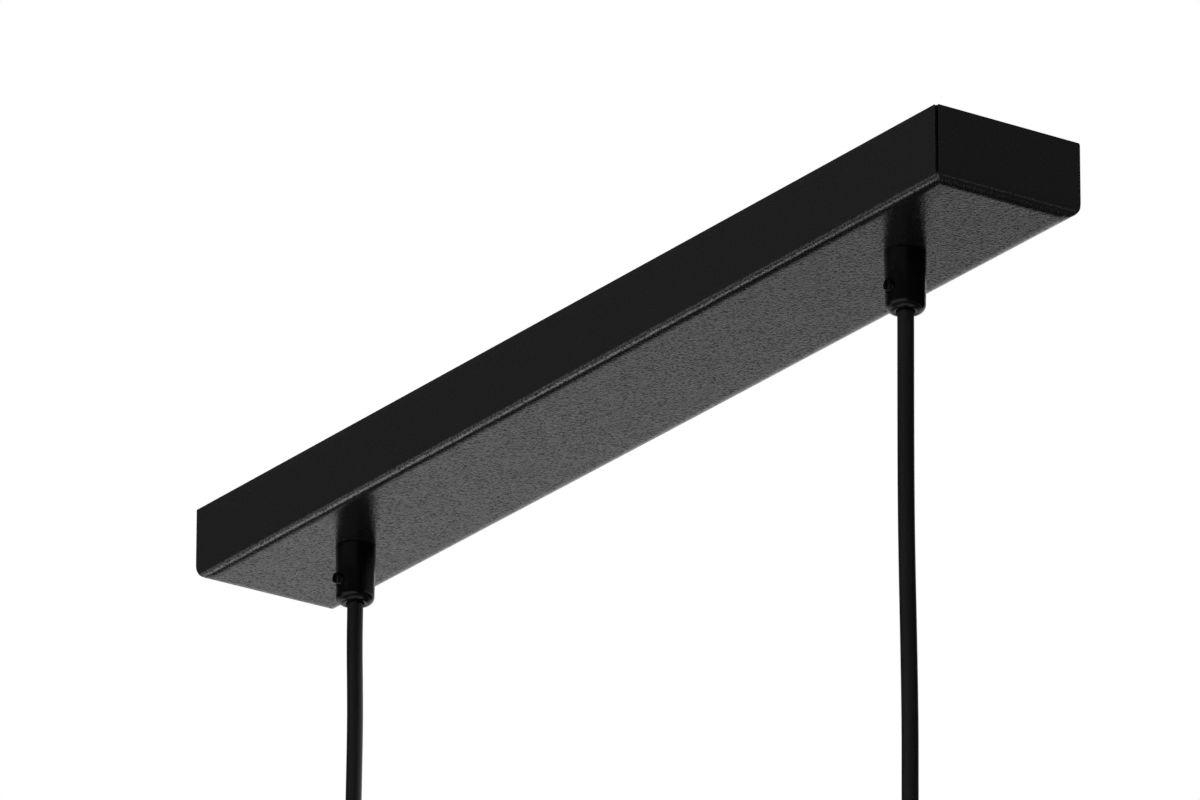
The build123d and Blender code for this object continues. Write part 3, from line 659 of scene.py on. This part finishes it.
# Black nylon: a dense satin black with faint flow marks and the mould's fine grain
grip_nylon, tree, shader, where = start_material("moulded_black_nylon")
mould_grain, mould_depth = 0.35 * mm, 0.02 * mm
flow_size = 6 * mm
grain = add(tree, "ShaderNodeTexNoise", {"Vector": where, "Scale": 1 / mould_grain, "Detail": 2})
flow = add(tree, "ShaderNodeTexNoise", {"Vector": where, "Scale": 1 / flow_size, "Detail": 2})
grip_tint = add(
    tree, "ShaderNodeMix", {0: flow.outputs[0], 6: linear("#050505"), 7: linear("#080809")},
    data_type="RGBA",
)
grip_gloss = add(
    tree, "ShaderNodeMapRange", {0: flow.outputs[0], 1: 0.3, 2: 0.7, 3: 0.26, 4: 0.34}
)
grip_relief = add(
    tree, "ShaderNodeBump", {"Height": grain.outputs[0], "Strength": 0.2, "Distance": mould_depth}
)
tree.links.new(grip_tint.outputs[2], shader.inputs["Base Color"])
tree.links.new(grip_gloss.outputs[0], shader.inputs["Roughness"])
tree.links.new(grip_relief.outputs[0], shader.inputs["Normal"])
shader.inputs["IOR"].default_value = 1.53
shader.inputs["Specular IOR Level"].default_value = 0.3

grip_length, grip_base_radius, grip_nose_radius = 21.5 * mm, 7.2 * mm, 6.8 * mm
grip_shoulder, grip_lip, grip_bore = 2.7 * mm, 0.8 * mm, 3.15 * mm
stem_radius, stem_length, stem_pitch = 4.9 * mm, 7.5 * mm, 1 * mm
stem_core = stem_radius - 0.55 * mm
spigot_radius, spigot_height = stem_radius - 0.5 * mm, 0.4 * mm
base_round = 0.3 * mm
clamp_height, clamp_hole_radius, clamp_hole_start = 13.2 * mm, 2.05 * mm, 2 * mm
clamp_mouth_radius, clamp_mouth_depth, clamp_mouth_drill = 2.8 * mm, 0.9 * mm, 4 * mm
grip_base_z = -canopy_height
cap_top = -269.5 * mm


def cord_grip(x, base_z, nose_down):
    """A grip with its clamp hole at the front and a thread on its stem."""
    barrel = turned([
        (grip_bore, -spigot_height), (spigot_radius, -spigot_height), (spigot_radius, 0),
        (grip_base_radius, 0), (grip_nose_radius, grip_length), (grip_bore, grip_length),
    ])
    round_ring(barrel, grip_nose_radius, grip_length, grip_shoulder, segments=8)
    round_ring(barrel, grip_bore, grip_length, grip_lip, segments=4)
    round_ring(barrel, grip_base_radius, 0, base_round, segments=2)
    reach = grip_base_radius
    turn = 180 if nose_down else 0
    front = 1 if nose_down else -1
    hole_y = front * (reach + clamp_hole_start)
    hole = drill(clamp_hole_radius, 2 * reach, (0, hole_y, clamp_height), "Y", 40)
    mouth_y = front * (reach - clamp_mouth_depth + clamp_mouth_drill / 2)
    mouth = drill(clamp_mouth_radius, clamp_mouth_drill, (0, mouth_y, clamp_height), "Y", 48)
    barrel = cut(cut(barrel, hole), mouth)
    stem = threaded(stem_core, stem_radius, stem_pitch, -stem_length, 0, 48)
    stem = cut(stem, drill(grip_bore, 4 * stem_length, (0, 0, 0)))
    return moved(joined(barrel, stem), x, 0, base_z, turn)


for side, x in outlets.items():
    piece(cord_grip(x, grip_base_z, True), f"{side}_grip_barrel", grip_nylon,
          "canopy", [f"{side}_cord_grip"])
    piece(cord_grip(x, cap_top, False), f"{side}_holder_barrel", grip_nylon,
          f"{side}_pendant", [f"{side}_holder_grip"])


# Clamp screws: slotted black nylon screws in the front of each grip, whose feet bite on the cord.
# They are moulded with their thread, and each stands out as far as the cord's thickness leaves it.
screw_radius, screw_foot_y = 2 * mm, -3 * mm
screw_core, screw_pitch = 0.82 * screw_radius, 0.7 * mm
screw_proud = {"left": 1.5 * mm, "right": 0.8 * mm, "holder": 0.4 * mm}
slot_width, slot_depth = 1 * mm, 1.1 * mm
screw_collar, screw_edge = 0.8 * mm, 0.3 * mm


def clamp_screw(x, z, proud):
    """A screw from its foot on the cord to its slotted end outside the grip."""
    length = grip_base_radius + proud + screw_foot_y
    end = drill(screw_radius, screw_collar, (0, 0, length - screw_collar / 2), sides=48)
    round_ring(end, screw_radius, length, screw_edge, segments=3)
    slot = block((slot_width, 4 * screw_radius, 2 * slot_depth), (0, 0, length))
    thread = threaded(screw_core, screw_radius, screw_pitch, 0, length - screw_collar)
    return moved(joined(cut(end, slot), thread), x, screw_foot_y, z, turn=90)


for side, x in outlets.items():
    screw = clamp_screw(x, grip_base_z - clamp_height, screw_proud[side])
    piece(screw, f"{side}_slotted_screw", grip_nylon, f"{side}_clamp",
          [f"{side}_clamp_screw"])
    screw = clamp_screw(x, cap_top + clamp_height, screw_proud["holder"])
    piece(screw, f"{side}_holder_slotted_screw", grip_nylon, f"{side}_holder_clamp",
          [f"{side}_holder_screw"])


# Cords: round black two-core cable, extruded in PVC, gripped at both ends and hanging plumb with a
# trace of the reel it came off. The upper piece bends out of its grip and the lower one goes on.

# Cable PVC: a soft satin black with a fine extruded grain, clouded along the lay of its cores
cord_pvc, tree, shader, where = start_material("black_cable_pvc")
core_lay = 42 * mm
cord_grain, cord_grain_depth = 0.5 * mm, 0.03 * mm
grain = add(tree, "ShaderNodeTexNoise", {"Vector": where, "Scale": 1 / cord_grain, "Detail": 2})
lay = add(tree, "ShaderNodeTexNoise", {"Vector": where, "Scale": 1 / core_lay, "Detail": 1})
cord_tint = add(
    tree, "ShaderNodeMix", {0: lay.outputs[0], 6: linear("#0f0f10"), 7: linear("#161617")},
    data_type="RGBA",
)
cord_gloss = add(
    tree, "ShaderNodeMapRange", {0: grain.outputs[0], 1: 0.3, 2: 0.7, 3: 0.4, 4: 0.5}
)
cord_relief = add(
    tree, "ShaderNodeBump",
    {"Height": grain.outputs[0], "Strength": 0.15, "Distance": cord_grain_depth},
)
tree.links.new(cord_tint.outputs[2], shader.inputs["Base Color"])
tree.links.new(cord_gloss.outputs[0], shader.inputs["Roughness"])
tree.links.new(cord_relief.outputs[0], shader.inputs["Normal"])
shader.inputs["IOR"].default_value = 1.53

cord_radius = 2.85 * mm
mouth_z, neck_end_z, neck_middle_z = -48 * mm, -72 * mm, -60 * mm
sway_x, sway_y = 0.57, 0.82
# Each cord's way down, as height and sideways stray in millimetres
strays = {
    "left": [
        (-16, 0), (-34, 0), (-49, 0), (-64, -0.1), (-80, 0.2), (-95, 0.35), (-118, 0.1),
        (-150, -0.2), (-185, 0.1), (-215, 0.1), (-240, 0), (-256, 0), (-276, 0),
    ],
    "right": [
        (-16, 0), (-34, 0), (-49, 0), (-82, -0.25), (-117, -0.4), (-140, -0.25), (-168, 0.1),
        (-195, 0.3), (-219, 0.1), (-240, 0), (-256, 0), (-276, 0),
    ],
}
for side, x in outlets.items():
    points = [(x / mm + sway_x * stray, sway_y * stray, z) for z, stray in strays[side]]
    line = line_through(in_metres(points))
    seam = min(range(len(line)), key=lambda i: abs(line[i].z - neck_middle_z))
    upper = piece(tube(line[:seam + 1], cord_radius, 32), f"{side}_held_cable", cord_pvc,
                  nodes=[f"{side}_held_cord", f"{side}_cord_neck"])
    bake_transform(upper)
    lower = piece(tube(line[seam:], cord_radius, 32), f"{side}_hanging_cable", cord_pvc,
                  nodes=[f"{side}_cord"])
    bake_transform(lower)


# Lampholder housings: a domed cap screwed on a flanged shell, moulded in black thermoplastic with
# a fine eroded texture. The skirt carries the thread of the shade ring.

# Black thermoplastic: a greyer, duller black than the grips, from the mould's eroded face
thermoplastic, tree, shader, where = start_material("moulded_black_thermoplastic")
erosion_grain, erosion_depth = 0.4 * mm, 0.03 * mm
grain = add(tree, "ShaderNodeTexNoise", {"Vector": where, "Scale": 1 / erosion_grain, "Detail": 3})
flow = add(tree, "ShaderNodeTexNoise", {"Vector": where, "Scale": 1 / flow_size, "Detail": 2})
holder_tint = add(
    tree, "ShaderNodeMix", {0: flow.outputs[0], 6: linear("#131314"), 7: linear("#1b1b1c")},
    data_type="RGBA",
)
holder_gloss = add(
    tree, "ShaderNodeMapRange", {0: grain.outputs[0], 1: 0.3, 2: 0.7, 3: 0.38, 4: 0.5}
)
holder_relief = add(
    tree, "ShaderNodeBump",
    {"Height": grain.outputs[0], "Strength": 0.3, "Distance": erosion_depth},
)
tree.links.new(holder_tint.outputs[2], shader.inputs["Base Color"])
tree.links.new(holder_gloss.outputs[0], shader.inputs["Roughness"])
tree.links.new(holder_relief.outputs[0], shader.inputs["Normal"])
shader.inputs["IOR"].default_value = 1.53

cap_radius, cap_wall, cap_height, cap_top_thickness = 19.5 * mm, 2 * mm, 26 * mm, 5 * mm
cap_shoulder, cap_hole_round = 9.5 * mm, 0.4 * mm
cap_inner = cap_radius - cap_wall
cap_ceiling, cap_bottom = cap_top - cap_top_thickness, cap_top - cap_height
neck_inner, neck_outer, neck_length = 15.3 * mm, 17.3 * mm, 8 * mm
flange_radius, flange_height = 22 * mm, 3 * mm
flange_bottom = cap_bottom - flange_height
skirt_radius, skirt_inner, skirt_length = 20 * mm, 17.8 * mm, 24 * mm
skirt_bottom = flange_bottom - skirt_length
ledge_radius, ledge_thickness = 14.1 * mm, 1.2 * mm
lip_inner, lip_height = 15.6 * mm, 2 * mm
ledge_z, lip_z = flange_bottom + ledge_thickness, skirt_bottom + lip_height
thread_depth, thread_pitch, thread_foot = 0.9 * mm, 2.5 * mm, 0.05 * mm
thread_top, thread_bottom = flange_bottom - 0.6 * mm, skirt_bottom + 1.2 * mm
skirt_root = skirt_radius - thread_depth
thread_bore = skirt_root - 0.3 * mm
rim_round = 0.5 * mm

for side, x in outlets.items():
    cap = turned([
        (stem_radius, cap_top), (cap_radius, cap_top), (cap_radius, cap_bottom),
        (cap_inner, cap_bottom), (cap_inner, cap_ceiling), (stem_radius, cap_ceiling),
    ], 96)
    round_ring(cap, cap_radius, cap_top, cap_shoulder, segments=14)
    round_ring(cap, cap_inner, cap_ceiling, cap_shoulder - cap_wall, segments=8)
    round_ring(cap, cap_radius, cap_bottom, rim_round, segments=3)
    round_ring(cap, stem_radius, cap_top, cap_hole_round, segments=2)
    piece(moved(cap, x, 0, 0), f"{side}_domed_cap", thermoplastic,
          f"{side}_pendant", [f"{side}_holder_cap"])
    shell = turned([
        (neck_inner, cap_bottom + neck_length), (neck_outer, cap_bottom + neck_length),
        (neck_outer, cap_bottom), (flange_radius, cap_bottom), (flange_radius, flange_bottom),
        (skirt_root, flange_bottom), (skirt_root, skirt_bottom), (lip_inner, skirt_bottom),
        (lip_inner, lip_z), (skirt_inner, lip_z), (skirt_inner, flange_bottom),
        (ledge_radius, flange_bottom), (ledge_radius, ledge_z), (neck_inner, ledge_z),
    ], 96)
    for radius, height in (
        (flange_radius, cap_bottom), (flange_radius, flange_bottom), (skirt_root, skirt_bottom),
        (lip_inner, skirt_bottom),
    ):
        round_ring(shell, radius, height, rim_round, segments=3)
    thread = threaded(
        skirt_root + thread_foot, skirt_radius, thread_pitch, thread_bottom, thread_top, 96
    )
    thread = cut(thread, drill(thread_bore, 4 * skirt_length, (0, 0, skirt_bottom)))
    piece(moved(joined(shell, thread), x, 0, 0), f"{side}_flanged_shell", thermoplastic,
          f"{side}_pendant", [f"{side}_holder_shell"])


# Lamp contacts: a screw sleeve rolled from nickel-plated brass sheet, a sprung brass tongue and
# the pressed steatite block that holds them, with the wires' screws on its back.

# Nickel plate: a warm, bright grey with faint cloudy patches
nickel, tree, shader, where = start_material("nickel_plated_brass")
plate_cloud = 3 * mm
cloud = add(tree, "ShaderNodeTexNoise", {"Vector": where, "Scale": 1 / plate_cloud, "Detail": 3})
nickel_tint = add(
    tree, "ShaderNodeMix", {0: cloud.outputs[0], 6: linear("#b3aea3"), 7: linear("#d2cec4")},
    data_type="RGBA",
)
nickel_gloss = add(
    tree, "ShaderNodeMapRange", {0: cloud.outputs[0], 1: 0.3, 2: 0.7, 3: 0.16, 4: 0.3}
)
tree.links.new(nickel_tint.outputs[2], shader.inputs["Base Color"])
tree.links.new(nickel_gloss.outputs[0], shader.inputs["Roughness"])
shader.inputs["Metallic"].default_value = 1

# Steatite: a matt ivory ceramic with the faint grain of the pressed powder
steatite, tree, shader, where = start_material("pressed_steatite")
press_grain, press_depth = 0.6 * mm, 0.04 * mm
grain = add(tree, "ShaderNodeTexNoise", {"Vector": where, "Scale": 1 / press_grain, "Detail": 4})
steatite_tint = add(
    tree, "ShaderNodeMix", {0: grain.outputs[0], 6: linear("#dcd8cc"), 7: linear("#ece9e0")},
    data_type="RGBA",
)
steatite_relief = add(
    tree, "ShaderNodeBump", {"Height": grain.outputs[0], "Strength": 0.3, "Distance": press_depth}
)
tree.links.new(steatite_tint.outputs[2], shader.inputs["Base Color"])
tree.links.new(steatite_relief.outputs[0], shader.inputs["Normal"])
shader.inputs["Roughness"].default_value = 0.55

sleeve_crest, sleeve_root, sleeve_wall = 12.3 * mm, 13.45 * mm, 0.35 * mm
sleeve_pitch, sleeve_rim, sleeve_length = 3.63 * mm, 1 * mm, 22 * mm
sleeve_bottom, rim_outer = ledge_z - sleeve_length, sleeve_root + sleeve_wall
wave_middle, wave_swing = (sleeve_root + sleeve_crest) / 2, (sleeve_root - sleeve_crest) / 2
wave = [(wave_middle + wave_swing * cos(2 * pi * i / 10), i / 10) for i in range(11)]
pressed_edge = 0.25 * mm
for side, x in outlets.items():
    sleeve = wound(wave, sleeve_pitch, sleeve_bottom, ledge_z, steps=64)
    bmesh.ops.solidify(sleeve, geom=sleeve.faces, thickness=sleeve_wall)
    bmesh.ops.recalc_face_normals(sleeve, faces=sleeve.faces)
    rim = turned([
        (sleeve_crest, sleeve_bottom), (rim_outer, sleeve_bottom),
        (rim_outer, sleeve_bottom + sleeve_rim), (sleeve_crest, sleeve_bottom + sleeve_rim),
    ])
    soften(rim, 0.3 * sleeve_rim, 3)
    pendant = f"{side}_pendant"
    piece(moved(joined(sleeve, rim), x, 0, 0), f"{side}_rolled_sleeve", nickel,
          pendant, [f"{side}_screw_sleeve"])
    piece(refined(f"{side}_contact_carrier", pressed_edge), f"{side}_steatite_block", steatite,
          pendant, [f"{side}_contact_carrier"])
    piece(refined(f"{side}_centre_contact", stamped_edge), f"{side}_sprung_tongue", brass,
          pendant, [f"{side}_centre_contact"])
    piece(refined(f"{side}_contact_screws", stamped_edge), f"{side}_wire_screws", zinc,
          pendant, [f"{side}_contact_screws"])


# Shade rings: fluted rings moulded like the housings, run up the skirt's thread to clamp a shade
# under the flange, and left on the lampholder where no shade is fitted.
ring_edge = 0.25 * mm
for side in outlets:
    piece(refined(f"{side}_shade_ring", ring_edge), f"{side}_fluted_ring", thermoplastic,
          f"{side}_ring", [f"{side}_shade_ring"])


# Studio: a pale floor far below, a white surround, felt flags that keep the front and the near end
# black as the photo shows them, soft lamps, and a long lens that looks up at the near end.
def staged(bm, name, material):
    """Makes a finished mesh part of the studio."""
    mesh = bpy.data.meshes.new(name)
    bm.to_mesh(mesh)
    bm.free()
    mesh.materials.append(material)
    obj = bpy.data.objects.new(name, mesh)
    bpy.context.scene.collection.objects.link(obj)
    return obj


def shown(tree):
    """1 for a ray that shows the studio, also in a gloss or through a clear piece, and else 0."""
    ray = add(tree, "ShaderNodeLightPath")
    sight = ray.outputs["Is Camera Ray"]
    for kind in ("Is Glossy Ray", "Is Transmission Ray"):
        either = add(
            tree, "ShaderNodeMath", {0: sight, 1: ray.outputs[kind]}, operation="MAXIMUM"
        )
        sight = either.outputs[0]
    return sight


# Floor paper: a plain pale grey, which shows at its own colour, and clear from below
pale = linear("#e8e8e8")
floor_paper, tree, shader, where = start_material("pale_floor_paper")
shader.inputs["Base Color"].default_value = pale
shader.inputs["Roughness"].default_value = 0.8
even = add(tree, "ShaderNodeEmission", {"Color": pale, "Strength": 1})
front = add(
    tree, "ShaderNodeMixShader", {0: shown(tree), 1: shader.outputs[0], 2: even.outputs[0]}
)
clear = add(tree, "ShaderNodeBsdfTransparent")
behind = add(tree, "ShaderNodeNewGeometry").outputs["Backfacing"]
both = add(tree, "ShaderNodeMixShader", {0: behind, 1: front.outputs[0], 2: clear.outputs[0]})
tree.links.new(both.outputs[0], tree.nodes["Material Output"].inputs["Surface"])
floor_z, floor_reach = -3.4, 30
bm = bmesh.new()
bmesh.ops.create_grid(bm, x_segments=1, y_segments=1, size=floor_reach)
bmesh.ops.translate(bm, vec=(0, 0, floor_z), verts=bm.verts)
staged(bm, "floor", floor_paper)

# Flag felt: a dead black with no gloss, which only reflections show
felt, tree, shader, where = start_material("black_flag_felt")
shader.inputs["Base Color"].default_value = linear("#060606")
shader.inputs["Roughness"].default_value = 1
shader.inputs["Specular IOR Level"].default_value = 0
flag_distance = 2.8
# Each flag's span in degrees: azimuth from +X, then height above the horizon
flags = {
    "end_flag": ((-30, 104), (-30, 3)),
    "front_flag": ((195, 240), (-22, 3)),
    "under_flag": ((0, 360), (-62, -33)),
    "low_flag": ((128, 172), (-42, -25)),
}
felt_sheets = {}
for name, ((first, last), (low, high)) in flags.items():
    bm = bmesh.new()
    arc = [radians(low + (high - low) * i / 12) for i in range(13)]
    verts = [bm.verts.new((flag_distance * cos(a), 0, flag_distance * sin(a))) for a in arc]
    edges = [bm.edges.new(pair) for pair in zip(verts, verts[1:])]
    bmesh.ops.rotate(bm, verts=verts, matrix=Matrix.Rotation(radians(first), 3, "Z"))
    bmesh.ops.spin(
        bm, geom=verts + edges, axis=(0, 0, 1), cent=(0, 0, 0), angle=radians(last - first),
        steps=36,
    )
    felt_sheets[name] = bm
# A felt ceiling with a hole for the canopy, and a gap behind each cord that gives it a lit rim
ceiling_height, ceiling_reach, ceiling_gap = 1 * mm, 3, 1 * mm
hole_x, hole_y = canopy_length / 2 + ceiling_gap, canopy_width / 2 + ceiling_gap
rim_first, rim_last = radians(104), radians(152)
bm = bmesh.new()
bmesh.ops.create_grid(bm, x_segments=1, y_segments=1, size=ceiling_reach)
bmesh.ops.translate(bm, vec=(0, 0, ceiling_height), verts=bm.verts)
slits = [((x, 0, 0), (1, 0, 0)) for x in (-hole_x, hole_x)]
slits += [((0, y, 0), (0, 1, 0)) for y in (-hole_y, hole_y)]
slits += [
    ((x, 0, 0), (-sin(a), cos(a), 0)) for x in outlets.values() for a in (rim_first, rim_last)
]
for place, way in slits:
    bmesh.ops.bisect_plane(
        bm, geom=bm.verts[:] + bm.edges[:] + bm.faces[:], plane_co=place, plane_no=way,
    )
gaps = []
for face in bm.faces:
    spot = face.calc_center_median()
    bearings = [atan2(spot.y, spot.x - x) for x in outlets.values()]
    over_canopy = abs(spot.x) < hole_x and abs(spot.y) < hole_y
    if over_canopy or any(rim_first < bearing < rim_last for bearing in bearings):
        gaps.append(face)
bmesh.ops.delete(bm, geom=gaps, context="FACES")
felt_sheets["ceiling_flag"] = bm
for name, bm in felt_sheets.items():
    flag = staged(bm, name, felt)
    flag.visible_camera = flag.visible_diffuse = flag.visible_shadow = False

# The surround shows as white, and lights the object only dimly
world = bpy.data.worlds.new("white_surround")
bpy.context.scene.world = world
world.use_nodes = True
tree = world.node_tree
surround_level = 0.13
level = add(tree, "ShaderNodeMapRange", {0: shown(tree), 3: surround_level, 4: 1.0})
background = tree.nodes["Background"]
background.inputs["Color"].default_value = (1, 1, 1, 1)
tree.links.new(level.outputs[0], background.inputs["Strength"])

# Each lamp's place and target, width and height in metres, watts, and whether a gloss shows it
lamps = {
    "key_softbox": ((-1.67, -0.18, -1.42), (0, 0, -0.03), 0.6, 0.6, 2.3, True),
    "front_softbox": ((-0.4, -3, 0.5), (0, 0, -0.05), 1.6, 1.2, 95, False),
    "end_softbox": ((3, 0.4, 0.5), (0, 0, -0.05), 1.2, 1.2, 44, False),
    "back_softbox": ((-0.8, 3, 0.8), (0, 0, -0.05), 1.6, 1.2, 24, False),
    "top_softbox": ((0, 0, 3), (0, 0, 0), 2, 1.2, 30, True),
}
for name, (centre, target, width, height, watts, mirrored) in lamps.items():
    data = bpy.data.lights.new(name, "AREA")
    data.shape, data.size, data.size_y, data.energy = "RECTANGLE", width, height, watts
    lamp = bpy.data.objects.new(name, data)
    lamp.location = centre
    lamp.rotation_euler = (Vector(target) - Vector(centre)).to_track_quat("-Z", "Y").to_euler()
    lamp.visible_camera, lamp.visible_glossy = False, mirrored
    bpy.context.scene.collection.objects.link(lamp)

# The camera as fitted to the photo's edges: its lens, its right and up directions, and its place
lens = bpy.data.cameras.new("long_lens")
lens.sensor_width = 36
lens.lens = 375
lens.clip_end = 100
camera = bpy.data.objects.new("camera", lens)
right = Vector((0.56937283, 0.82207843, 0.00127534))
up = Vector((0.30629467, -0.21357933, 0.92766774))
back = right.cross(up)
stand = Vector((3.28734, -2.28373, -1.63595))
turn = Matrix((right, up, back)).transposed().to_4x4()
camera.matrix_world = Matrix.Translation(stand) @ turn
bpy.context.scene.collection.objects.link(camera)
bpy.context.scene.camera = camera
